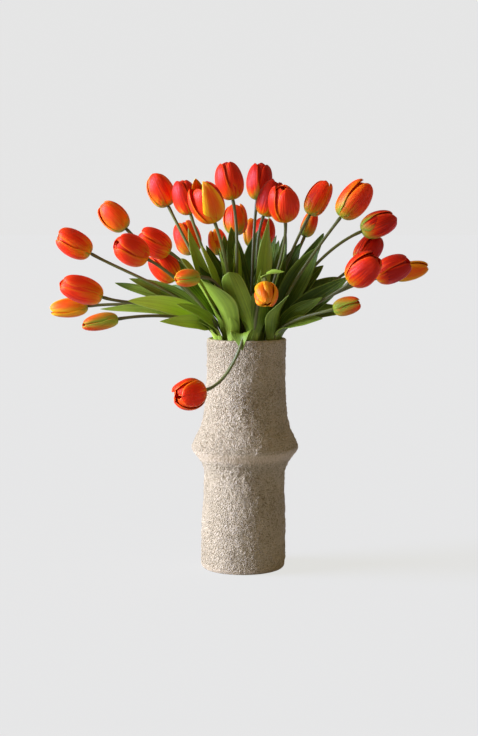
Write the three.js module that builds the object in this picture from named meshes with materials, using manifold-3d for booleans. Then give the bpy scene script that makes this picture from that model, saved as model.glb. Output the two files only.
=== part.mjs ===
// Tulips in a vase. A tall hand-thrown stoneware vase with a raised ring round its middle holds a
// loose bunch of long-stemmed tulips that fan out over its rim, one of them hanging down in front.
// Millimetres, +Z up, front towards -Y, origin at the centre of the vase's foot.
import * as THREE from "three";
import { mergeVertices } from "three/addons/utils/BufferGeometryUtils.js";
import Module from "manifold-3d";

const wasm = await Module();
wasm.setup();

// ---- Driving dimensions -------------------------------------------------------------------------

// The vase: radii are of the outer wall, heights are above the table.
const VASE = {
  height: 360,
  footRadius: 66,
  footRound: 7,
  waistRadius: 62.5, // the slimmest place under the ring
  waistHeight: 138,
  ringRadius: 82.5,
  ringHeight: 190,
  shoulderRadius: 63,
  shoulderHeight: 270,
  rimRadius: 61.5,
  wall: 6.5,
  floor: 12,
  lean: 6, // how far the mouth stands to the right of the foot
  facets: 32,
  curveSteps: 4, // points along each curve of the outline
};

const STEM = {
  radius: 3,
  sides: 6,
  steps: 12,
  straightShare: 0.25, // share of the steps that the stretch inside the vase takes
  wallGap: 1, // kept between a stem and the vase
  footLift: 2, // the cut end stands this far above the vase's floor
  footSpread: [0.18, 0.94], // where feet stand, as shares of the floor, from the middle outwards
  neckDrop: 8, // the neck point lies this far under the rim
  outwardLean: 0.28, // how much a stem already leans at the neck
  climb: 0.3, // length of the bend's start and end, as shares of its span
  approach: 0.3,
  footPull: 0.35, // the same for the stretch inside the vase
  neckPull: 0.2,
};

const BLOOM = {
  gap: 0.3, // between a bloom and the end of its stem
  sides: 10,
  steps: 7,
  widestAt: 0.42, // share of a full bloom's length, from its stem
  budWidestAt: 0.4,
};

const LEAF = {
  thickness: 1.6,
  lengthSteps: 7,
  widthSteps: 2,
  rootShare: 0.3, // width at the stem, as a share of the full width
  widestAt: 0.5,
  tipWidth: 2.4,
  cup: 0.16, // how far the edges rise, as a share of the width
  rootOffset: 1.6, // the root lies this far outside the stem's middle
  launch: 0.34, // how far a leaf first follows its stem, as a share of its span
  rollSpan: [0.05, 0.45], // a leaf rolls between these shares of its length
};

// Each tulip: where its stem passes the mouth ([azimuth, share of the way to the wall]), the middle
// of its bloom ([azimuth, beyond the rim, above the rim]), the way that the bloom points
// ([azimuth, elevation]), and the bloom's size. Azimuth 0 is +X and 90 is +Y, in degrees. The one
// that hangs down crosses the rim at the point called over.
const TULIPS = [
  { neck: [181, 0.9], bloom: [180, 205, 145], aim: [187, 30], size: [60, 42] },
  { neck: [157, 0.88], bloom: [159, 165, 188], aim: [172, 45], size: [57, 41] },
  { neck: [215, 0.9], bloom: [210, 137, 137], aim: [214, 25], size: [58, 46] },
  { neck: [199, 0.64], bloom: [196, 85, 147], aim: [200, 30], size: [56, 44] },
  { neck: [163, 0.66], bloom: [163, 79, 228], aim: [173, 64], size: [55, 42] },
  { neck: [165, 0.46], bloom: [174, 34, 217], aim: [180, 73], size: [56, 41] },
  { neck: [130, 0.76], bloom: [131, 84, 153], aim: [135, 65], size: [56, 44] },
  { neck: [241, 0.6], bloom: [233, 39, 211], aim: [217, 65], size: [72, 50] },
  { neck: [205, 0.4], bloom: [180, -34, 242], aim: [194, 78], size: [60, 44] },
  { neck: [74, 0.44], bloom: [74, 11, 243], aim: [40, 81], size: [60, 40] },
  { neck: [6, 0.42], bloom: [15, -24, 215], aim: [0, 69], size: [58, 41] },
  { neck: [303, 0.56], bloom: [301, 43, 206], aim: [257, 62], size: [58, 46] },
  { neck: [28, 0.6], bloom: [28, 67, 216], aim: [12, 61], size: [60, 38] },
  { neck: [-4, 0.66], bloom: [-3, 103, 213], aim: [-5, 53], size: [68, 46] },
  { neck: [15, 0.78], bloom: [14, 153, 175], aim: [6, 22], size: [60, 42] },
  { neck: [26, 0.92], bloom: [20, 145, 136], aim: [21, 45], size: [57, 41] },
  { neck: [-23, 0.88], bloom: [-22, 127, 108], aim: [-28, 41], size: [60, 48] },
  { neck: [-8, 0.92], bloom: [-5, 162, 107], aim: [-13, 24], size: [58, 43] },
  { neck: [5, 0.94], bloom: [10, 200, 102], aim: [3, 12], size: [62, 31], bud: true },
  { neck: [322, 0.92], bloom: [-34, 117, 55], aim: [-15, 15], size: [42, 28], bud: true },
  { neck: [282, 0.86], bloom: [-80, 91, 74], aim: [-90, -53], size: [38, 32] },
  { neck: [243, 0.86], bloom: [236, 95, 97], aim: [204, -3], size: [38, 26], bud: true },
  { neck: [267, 0.96], over: [267, 0, 11], bloom: [232, 77, -75], aim: [218, -6], size: [50, 47],
    approach: 0.5 },
  { neck: [192, 0.9], bloom: [191, 194, 76], aim: [189, 19], size: [68, 41], climb: 0.4 },
  { neck: [170, 0.9], bloom: [176, 217, 45], aim: [180, -6], size: [61, 31], bud: true },
  { neck: [203, 0.9], bloom: [202, 175, 30], aim: [192, -9], size: [55, 26], bud: true },
  { neck: [100, 0.62], bloom: [99, 50, 183], aim: [100, 72], size: [52, 40] },
  { neck: [86, 0.84], bloom: [87, 79, 162], aim: [90, 72], size: [48, 24], bud: true },
  { neck: [183, 0.62], bloom: [184, 66, 111], aim: [189, 49], size: [56, 44] },
];

// Each leaf: the tulip that it grows on, its tip and the elbow that it bends towards (both as
// [azimuth, beyond the rim, above the rim]), its full width, how far along the stem's upper stretch
// it starts, and how far its face is rolled about its own line.
const LEAVES = [
  { on: 22, elbow: [244, 40, 72], tip: [240, 68, 92], width: 34 },
  { on: 21, elbow: [257, 22, 70], tip: [253, 38, 104], width: 31 },
  { on: 6, elbow: [195, -4, 95], tip: [196, 10, 143], width: 28, roll: -20 },
  { on: 11, elbow: [-51, -12, 110], tip: [-50, -10, 187], width: 33 },
  { on: 13, elbow: [10, 35, 110], tip: [9, 61, 163], width: 24, roll: 70 },
  { on: 14, elbow: [8, 20, 96], tip: [6, 52, 140], width: 34, roll: 70 },
  { on: 18, elbow: [-15, 50, 57], tip: [-13, 98, 95], width: 32, roll: 75 },
  { on: 20, elbow: [-60, 25, 50], tip: [-61, 64, 70], width: 36, roll: 30 },
  { on: 12, elbow: [-62, 10, 50], tip: [-64, 29, 84], width: 29, roll: 15 },
  { on: 1, elbow: [178, 56, 72], tip: [178, 121, 92], width: 24, roll: -70 },
  { on: 2, elbow: [166, 109, 70], tip: [166, 153, 83], width: 18, roll: -60 },
  { on: 24, elbow: [198, 67, 58], tip: [194, 125, 60], width: 26, roll: -75 },
  { on: 25, elbow: [178, 103, 45], tip: [177, 167, 44], width: 16, roll: -70 },
  { on: 26, at: 0.06, elbow: [222, 43, 28], tip: [212, 93, 30], width: 21, roll: -70 },
  { on: 4, elbow: [212, 34, 95], tip: [211, 54, 124], width: 30, roll: -45 },
  { on: 5, elbow: [167, 20, 115], tip: [168, 31, 169], width: 19, roll: -60 },
  { on: 27, elbow: [112, -13, 100], tip: [113, -2, 171], width: 38 },
  { on: 8, elbow: [226, -13, 95], tip: [227, 0, 139], width: 20, roll: -20 },
  { on: 13, at: 0.14, elbow: [20, -5, 110], tip: [22, 5, 165], width: 20, roll: 40 },
  { on: 12, at: 0.14, elbow: [-43, 20, 110], tip: [-47, 21, 155], width: 18, roll: 50 },
  { on: 23, elbow: [262, 18, 34], tip: [265, 13, -14], width: 30 },
  { on: 7, elbow: [129, 25, 80], tip: [128, 60, 110], width: 34, roll: -50 },
  { on: 28, elbow: [84, 25, 80], tip: [80, 70, 95], width: 30 },
  { on: 10, elbow: [54, 4, 100], tip: [54, 24, 150], width: 26 },
  { on: 16, elbow: [29, 60, 75], tip: [30, 110, 90], width: 28, roll: 50 },
  { on: 2, at: 0.14, elbow: [148, 60, 70], tip: [145, 115, 70], width: 28, roll: -50 },
  { on: 19, elbow: [10, 50, 45], tip: [12, 110, 40], width: 26, roll: 60 },
  { on: 20, at: 0.14, elbow: [-34, 40, 30], tip: [-34, 75, 34], width: 17, roll: 60 },
];

// ---- Shared measures ----------------------------------------------------------------------------

const UP = new THREE.Vector3(0, 0, 1);
const rad = THREE.MathUtils.degToRad;
const MOUTH = new THREE.Vector3(VASE.lean, 0, VASE.height);

// How far from the vase's middle a stem's own middle may lie, at the mouth and at the floor. The
// waist limits the floor too, because the stems stand nearly straight.
const STEM_MARGIN = VASE.wall + STEM.radius + STEM.wallGap;
const MOUTH_REACH = Math.min(VASE.rimRadius, VASE.shoulderRadius) - STEM_MARGIN;
const FLOOR_REACH = Math.min(VASE.footRadius - VASE.footRound, VASE.waistRadius) - STEM_MARGIN;

// A point given by its azimuth, its distance beyond the rim and its height above the rim.
function fromRim([azimuth, beyond, above]) {
  const r = VASE.rimRadius + beyond;
  return new THREE.Vector3(r * Math.cos(rad(azimuth)), r * Math.sin(rad(azimuth)), above)
    .add(MOUTH);
}

function direction([azimuth, elevation]) {
  const level = Math.cos(rad(elevation));
  return new THREE.Vector3(
    level * Math.cos(rad(azimuth)),
    level * Math.sin(rad(azimuth)),
    Math.sin(rad(elevation)),
  );
}

// A closed geometry as a manifold-3d solid.
function solidOf(geometry) {
  const bare = geometry.index ? geometry.toNonIndexed() : geometry.clone();
  bare.deleteAttribute("normal");
  bare.deleteAttribute("uv");
  const merged = mergeVertices(bare, 1e-3);
  return new wasm.Manifold(new wasm.Mesh({
    numProp: 3,
    vertProperties: merged.attributes.position.array,
    triVerts: new Uint32Array(merged.index.array),
  }));
}

function geometryOf(solid) {
  const { vertProperties, triVerts } = solid.getMesh();
  return new THREE.BufferGeometry()
    .setAttribute("position", new THREE.BufferAttribute(vertProperties, 3))
    .setIndex(new THREE.BufferAttribute(triVerts, 1));
}

// ---- Vase ---------------------------------------------------------------------------------------

// The wall's line from the foot up to the rim, set in from the outer face by inset.
function wallLine(inset) {
  const { footRadius, waistRadius, ringRadius, shoulderRadius, rimRadius } = VASE;
  const { footRound, waistHeight, ringHeight, shoulderHeight, height, curveSteps } = VASE;
  const start = Math.max(footRound, inset ? VASE.floor + footRound : 0);
  const flare = ringHeight - waistHeight;
  const slope = shoulderHeight - ringHeight;
  const line = new THREE.Path();
  line.moveTo(footRadius - inset, start);
  line.bezierCurveTo(
    footRadius + 1 - inset, waistHeight * 0.5,
    waistRadius - 0.5 - inset, waistHeight * 0.8,
    waistRadius - inset, waistHeight,
  );
  line.bezierCurveTo(
    waistRadius + 0.5 - inset, waistHeight + flare * 0.5,
    ringRadius - 7 - inset, ringHeight - flare * 0.28,
    ringRadius - inset, ringHeight,
  );
  line.bezierCurveTo(
    ringRadius - 8.5 - inset, ringHeight + slope * 0.28,
    shoulderRadius + 1 - inset, ringHeight + slope * 0.6,
    shoulderRadius - inset, shoulderHeight,
  );
  line.lineTo(rimRadius - inset, height - VASE.wall / 2);
  return line.getPoints(curveSteps);
}

function vaseGeometry() {
  const { footRadius, footRound, wall, floor, height, rimRadius, lean, facets } = VASE;
  const outside = wallLine(0);
  const inside = wallLine(wall).reverse();
  const foot = new THREE.Path().moveTo(0, 0).lineTo(footRadius - footRound, 0);
  foot.quadraticCurveTo(footRadius, 0, footRadius, footRound);
  const lip = new THREE.Path()
    .absarc(rimRadius - wall / 2, height - wall / 2, wall / 2, 0, Math.PI, false);
  const bowl = new THREE.Path().moveTo(inside.at(-1).x, inside.at(-1).y);
  bowl.quadraticCurveTo(footRadius - wall, floor, footRadius - wall - footRound, floor);
  bowl.lineTo(0, floor);
  const outline = [
    ...foot.getPoints(3),
    ...outside.slice(1, -1),
    ...lip.getPoints(4),
    ...inside.slice(1, -1),
    ...bowl.getPoints(3),
  ];
  const geometry = new THREE.LatheGeometry(outline, facets);
  geometry.rotateX(Math.PI / 2);
  const shear = new THREE.Matrix4().makeShear(0, 0, 0, 0, lean / height, 0);
  return geometry.applyMatrix4(shear);
}

// ---- Stems --------------------------------------------------------------------------------------

// A smooth bend that leaves one point in one direction and reaches another in a second direction.
function bend(from, leaving, to, arriving, climb, approach = STEM.approach) {
  const span = from.distanceTo(to);
  return new THREE.CubicBezierCurve3(
    from,
    from.clone().addScaledVector(leaving, span * climb),
    to.clone().addScaledVector(arriving, -span * approach),
    to,
  );
}

// One stem's middle line: up through the vase, out at the neck and over to the bloom.
class StemLine extends THREE.Curve {
  constructor(tulip) {
    super();
    const [azimuth, share] = tulip.neck;
    const aim = direction(tulip.aim);
    const radial = new THREE.Vector3(Math.cos(rad(azimuth)), Math.sin(rad(azimuth)), 0);
    const neck = MOUTH.clone().addScaledVector(radial, share * MOUTH_REACH);
    neck.z -= STEM.neckDrop;
    const footShare = THREE.MathUtils.lerp(STEM.footSpread[0], STEM.footSpread[1], share);
    const foot = radial.clone().multiplyScalar(footShare * FLOOR_REACH);
    foot.z = VASE.floor + STEM.footLift;
    const end = fromRim(tulip.bloom).addScaledVector(aim, -tulip.size[0] / 2 - BLOOM.gap);
    const across = end.clone().sub(neck).setZ(0).normalize();
    const out = across.clone().multiplyScalar(STEM.outwardLean * share).add(UP).normalize();
    const inside = neck.z - foot.z;
    this.lower = new THREE.CubicBezierCurve3(
      foot,
      foot.clone().addScaledVector(UP, inside * STEM.footPull),
      neck.clone().addScaledVector(out, -inside * STEM.neckPull),
      neck,
    );
    if (tulip.over) {
      const over = fromRim(tulip.over);
      const level = direction([tulip.over[0], 0]);
      this.upper = new THREE.CurvePath();
      this.upper.add(bend(neck, out, over, level, STEM.climb));
      this.upper.add(bend(over, level, end, aim, STEM.climb, tulip.approach));
    } else {
      this.upper = bend(neck, out, end, aim, tulip.climb ?? STEM.climb);
    }
  }

  getPoint(t, target) {
    const s = STEM.straightShare;
    return t < s ? this.lower.getPoint(t / s, target)
      : this.upper.getPoint((t - s) / (1 - s), target);
  }

  // Steps are spread by t and not by length, so that the hidden stretch takes few of them.
  getUtoTmapping(u) {
    return u;
  }
}

function stemSolid(line) {
  const section = new THREE.Shape();
  for (let i = 0; i < STEM.sides; i++) {
    const a = (i / STEM.sides) * 2 * Math.PI;
    const [x, y] = [STEM.radius * Math.cos(a), STEM.radius * Math.sin(a)];
    i ? section.lineTo(x, y) : section.moveTo(x, y);
  }
  return solidOf(new THREE.ExtrudeGeometry(section, { steps: STEM.steps, extrudePath: line }));
}

// ---- Leaves -------------------------------------------------------------------------------------

function leafWidth(s, full) {
  const m = LEAF.widestAt;
  const swell = THREE.MathUtils.smoothstep(s, 0, m);
  const taper = s < m ? 1 : Math.sqrt(1 - ((s - m) / (1 - m)) ** 2.2);
  return Math.max(full * (LEAF.rootShare + (1 - LEAF.rootShare) * swell) * taper, LEAF.tipWidth);
}

// A blade: a thin box whose long middle line follows a curve and whose edges curl up.
function leafSolid(leaf, stem) {
  const root = stem.upper.getPoint(leaf.at ?? 0);
  const along = stem.upper.getTangent(leaf.at ?? 0);
  const tip = fromRim(leaf.tip);
  const outward = tip.clone().sub(MOUTH).setZ(0).normalize();
  const side = new THREE.Vector3().crossVectors(UP, outward);
  root.addScaledVector(outward, LEAF.rootOffset);
  const span = root.distanceTo(tip);
  const line = new THREE.CubicBezierCurve3(
    root,
    root.clone().addScaledVector(along, span * LEAF.launch),
    fromRim(leaf.elbow),
    tip,
  );
  const blade = new THREE.BoxGeometry(1, 1, 1, LEAF.lengthSteps, LEAF.widthSteps, 1);
  const position = blade.getAttribute("position");
  for (let i = 0; i < position.count; i++) {
    const s = position.getX(i) + 0.5;
    const across = position.getY(i) * 2;
    const width = leafWidth(s, leaf.width);
    const tangent = line.getTangent(s);
    const face = new THREE.Vector3().crossVectors(tangent, side).normalize();
    const level = new THREE.Vector3().crossVectors(face, tangent)
      .applyAxisAngle(tangent, rad(leaf.roll ?? 0) * THREE.MathUtils.smoothstep(s, ...LEAF.rollSpan));
    const normal = new THREE.Vector3().crossVectors(tangent, level);
    const p = line.getPoint(s)
      .addScaledVector(level, (across * width) / 2)
      .addScaledVector(normal, across ** 2 * width * LEAF.cup)
      .addScaledVector(normal, position.getZ(i) * LEAF.thickness);
    position.setXYZ(i, p.x, p.y, p.z);
  }
  return solidOf(blade);
}

// ---- Blooms -------------------------------------------------------------------------------------

// A closed bloom or bud as one egg-shaped solid along +Z, its stem end at the origin.
function bloomGeometry({ size: [length, width], bud }) {
  const widest = bud ? BLOOM.budWidestAt : BLOOM.widestAt;
  const outline = [];
  for (let i = 0; i <= BLOOM.steps; i++) {
    const t = (1 - Math.cos((i / BLOOM.steps) * Math.PI)) / 2;
    const below = 1 - ((widest - t) / widest) ** 2;
    const above = ((t - widest) / (1 - widest)) ** (bud ? 1.7 : 2.4);
    const share = t < widest ? Math.sqrt(below) : (1 - above) ** (bud ? 0.8 : 0.62);
    outline.push(new THREE.Vector2((share * width) / 2, t * length));
  }
  outline[0].x = 0;
  outline[BLOOM.steps].x = 0;
  return new THREE.LatheGeometry(outline, BLOOM.sides).rotateX(Math.PI / 2);
}

// ---- Assembly -----------------------------------------------------------------------------------

const CLAY = new THREE.MeshStandardMaterial({ color: 0xb5a88f, roughness: 0.9, metalness: 0 });
const GREEN = new THREE.MeshStandardMaterial({ color: 0x5d7f2a, roughness: 0.5, metalness: 0 });
const RED = new THREE.MeshStandardMaterial({ color: 0xd8401c, roughness: 0.45, metalness: 0 });
const YELLOW = new THREE.MeshStandardMaterial({ color: 0xd99a26, roughness: 0.45, metalness: 0 });

const bouquet = new THREE.Group();

const vase = new THREE.Mesh(vaseGeometry(), CLAY);
vase.name = "vase";
bouquet.add(vase);

TULIPS.forEach((tulip, i) => {
  const number = String(i + 1).padStart(2, "0");
  const line = new StemLine(tulip);
  let green = stemSolid(line);
  for (const leaf of LEAVES.filter(({ on }) => on === i + 1)) {
    green = green.add(leafSolid(leaf, line));
  }
  const stem = new THREE.Mesh(geometryOf(green), GREEN);
  stem.name = `tulip_${number}_stem`;
  bouquet.add(stem);

  const bloom = new THREE.Mesh(bloomGeometry(tulip), tulip.bud ? YELLOW : RED);
  bloom.name = `tulip_${number}_bloom`;
  bloom.quaternion.setFromUnitVectors(UP, direction(tulip.aim));
  bloom.position.copy(fromRim(tulip.bloom))
    .addScaledVector(direction(tulip.aim), -tulip.size[0] / 2);
  bouquet.add(bloom);
});

export default bouquet;
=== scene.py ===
"""Tulips in a stoneware vase: the detailed petals, leaves, stems and clay, made round the frame."""
import math
import random

import bmesh
import bpy
from bpy.props import FloatProperty, FloatVectorProperty, IntProperty, PointerProperty
from mathutils import Matrix, Vector, noise
from mathutils.geometry import interpolate_bezier


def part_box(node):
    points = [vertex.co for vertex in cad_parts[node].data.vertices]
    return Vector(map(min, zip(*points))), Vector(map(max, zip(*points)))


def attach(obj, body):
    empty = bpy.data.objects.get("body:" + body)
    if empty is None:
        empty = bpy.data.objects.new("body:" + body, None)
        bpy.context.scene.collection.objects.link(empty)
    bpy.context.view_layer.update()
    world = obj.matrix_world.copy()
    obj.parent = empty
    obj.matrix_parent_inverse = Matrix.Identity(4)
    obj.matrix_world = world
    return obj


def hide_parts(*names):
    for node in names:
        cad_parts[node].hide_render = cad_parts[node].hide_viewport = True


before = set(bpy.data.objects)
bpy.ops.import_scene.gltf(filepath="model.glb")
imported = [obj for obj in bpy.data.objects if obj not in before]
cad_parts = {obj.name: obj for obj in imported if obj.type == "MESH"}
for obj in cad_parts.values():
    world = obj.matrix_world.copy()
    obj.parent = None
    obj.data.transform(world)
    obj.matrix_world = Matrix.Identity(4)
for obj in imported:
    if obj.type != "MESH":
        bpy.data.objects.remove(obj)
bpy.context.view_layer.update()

bl_info = {
    "name": "Tulips in a vase",
    "version": (1, 0, 0),
    "blender": (4, 5, 0),
    "location": "View3D > Sidebar > Tulips",
    "description": "Builds a loose bunch of tulips in a rough stoneware vase",
    "category": "Object",
}

MM = 0.001
UP = Vector((0, 0, 1))

# ---- Where everything stands ----

# Millimetres and degrees. Stems and leaves follow the same lines as their solids in the frame.
RIM_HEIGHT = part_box("vase")[1].z / MM
RIM_RADIUS = 61.5
FOOT_RADIUS = 66.0
FOOT_ROUND = 7.0
LEAN = 6.0  # how far the mouth stands to the right of the foot
WALL = 6.5
VASE_FLOOR = 12.0
MOUTH = Vector((LEAN, 0, RIM_HEIGHT))
STEM_RADIUS = 3.0
WALL_GAP = 1.0  # kept between a stem and the vase
MOUTH_REACH = RIM_RADIUS - WALL - STEM_RADIUS - WALL_GAP
FLOOR_REACH = FOOT_RADIUS - FOOT_ROUND - WALL - STEM_RADIUS - WALL_GAP
FOOT_SPREAD = (0.18, 0.94)  # where stems stand, as shares of the floor, from the middle outwards
FOOT_LIFT = 2.0
NECK_DROP = 8.0  # the neck of a stem lies this far under the rim
OUTWARD_LEAN = 0.28  # how much a stem already leans at its neck
CLIMB = 0.3  # length of a bend's start and end, as shares of its span
APPROACH = 0.3
FOOT_PULL = 0.35  # the same for the stretch inside the vase
NECK_PULL = 0.2
BLOOM_GAP = 0.3
GROOVE_WIDTH = 0.12  # of the groove down a leaf or a petal, as a share of its half width


def flower(neck, bloom, aim, size, look, **more):
    return dict(more, neck=neck, bloom=bloom, aim=aim, size=size, look=look)


def blade(on, elbow, tip, width, light, **more):
    return dict(more, on=on, elbow=elbow, tip=tip, width=width, light=light)


# Each tulip: where its stem passes the mouth (azimuth, share of the way to the wall), the middle of
# its bloom (azimuth, beyond the rim, above the rim), the way that the bloom points (azimuth,
# elevation), its length and width, and its look: how open it is, how red its petals are (high
# values turn them to a dark crimson, partly painted shade for the blooms that lie in shade, mostly
# on the right), how far yellow runs in from their edges and how much green is left at their roots.
# Where given, faces is the azimuth that its first petal faces, crumple is how wavy its petals are,
# and flamed says that every third petal is long, with broad yellow edges. The tulip that hangs down
# crosses the rim at over. Climb and approach are how stiffly a stem leaves the mouth and comes to
# its bloom.
TULIPS = [
    flower((181, 0.9), (180, 205, 145), (187, 30), (60, 42), (0.1, 0.78, 0.2, 0.3)),
    flower((157, 0.88), (159, 165, 188), (172, 45), (57, 41), (0.05, 0.66, 0.15, 0.35)),
    flower((215, 0.9), (210, 137, 137), (214, 25), (58, 46), (0.12, 0.86, 0.1, 0.05)),
    flower((199, 0.64), (196, 85, 147), (200, 30), (56, 44), (0.05, 0.85, 0.1, 0.2)),
    flower((163, 0.66), (163, 79, 228), (173, 64), (55, 42), (0.05, 0.84, 0.25, 0.4)),
    flower((165, 0.46), (174, 34, 217), (180, 73), (56, 41), (0.12, 0.98, 0.1, 0.15)),
    flower((130, 0.76), (131, 84, 153), (135, 65), (56, 44), (0.2, 0.82, 0.3, 0.1)),
    flower((241, 0.6), (233, 39, 211), (217, 65), (72, 50), (0.42, 0.88, 0.1, 0.05), faces=-70,
           flamed=True),
    flower((205, 0.4), (180, -34, 242), (194, 78), (60, 44), (0.1, 1.05, 0.05, 0.15)),
    flower((74, 0.44), (74, 11, 243), (40, 81), (60, 40), (0.25, 1.1, 0.05, 0.5)),
    flower((6, 0.42), (15, -24, 215), (0, 69), (58, 41), (0.05, 1.2, 0.05, 0.15)),
    flower((303, 0.56), (301, 43, 206), (257, 62), (58, 46), (0.18, 0.84, 0.1, 0.05)),
    flower((28, 0.6), (28, 67, 216), (12, 61), (60, 38), (0.02, 0.78, 0.2, 0.3)),
    flower((-4, 0.66), (-3, 103, 213), (-5, 53), (68, 46), (0.15, 0.76, 0.25, 0.6)),
    flower((15, 0.78), (14, 153, 175), (6, 22), (60, 42), (0.08, 1.2, 0.1, 0.7)),
    flower((26, 0.92), (20, 145, 136), (21, 45), (57, 41), (0.05, 1.2, 0, 0.1)),
    flower((-23, 0.88), (-22, 127, 108), (-28, 41), (60, 48), (0.15, 0.92, 0.1, 0.1)),
    flower((-8, 0.92), (-5, 162, 107), (-13, 24), (58, 43), (0.1, 1.1, 0.05, 0.1)),
    flower((5, 0.94), (10, 200, 102), (3, 12), (62, 31), (0, 0.6, 0.6, 0.5)),
    flower((322, 0.92), (-34, 117, 55), (-15, 15), (42, 28), (0, 0.72, 0.3, 2.2)),
    flower((282, 0.86), (-80, 91, 74), (-90, -53), (38, 32), (0.14, 0.42, 0.4, 0), crumple=2.2),
    flower((243, 0.86), (236, 95, 97), (204, -3), (38, 26), (0, 0.6, 0.5, 1.8)),
    flower((267, 0.96), (232, 77, -75), (218, -6), (50, 47), (0.16, 0.8, 0.15, 0), over=(267, 0, 11),
           approach=0.5, crumple=0.9),
    flower((192, 0.9), (191, 194, 76), (189, 19), (68, 41), (0.15, 0.78, 0.2, 0.1), climb=0.4),
    flower((170, 0.9), (176, 217, 45), (180, -6), (61, 31), (0, 0.5, 0.8, 0.3)),
    flower((203, 0.9), (202, 175, 30), (192, -9), (55, 26), (0, 0.74, 0.4, 2)),
    flower((100, 0.62), (99, 50, 183), (100, 72), (52, 40), (0.1, 0.76, 0.25, 0.6)),
    flower((86, 0.84), (87, 79, 162), (90, 72), (48, 24), (0, 0.4, 0.7, 0.3)),
    flower((183, 0.62), (184, 66, 111), (189, 49), (56, 44), (0.1, 0.85, 0.1, 0.1)),
    flower((72, 0.72), (75, 42, 161), (63, 77), (50, 38), (0.1, 0.9, 0, 0.1)),
    flower((108, 0.86), (110, 77, 147), (112, 58), (46, 32), (0, 0.6, 0.5, 0.2)),
    flower((52, 0.86), (52, 104, 175), (41, 62), (44, 26), (0, 0.66, 0.3, 1.2)),
]
YELLOW_BUDS = {19, 20, 22, 25, 26, 28}

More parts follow.
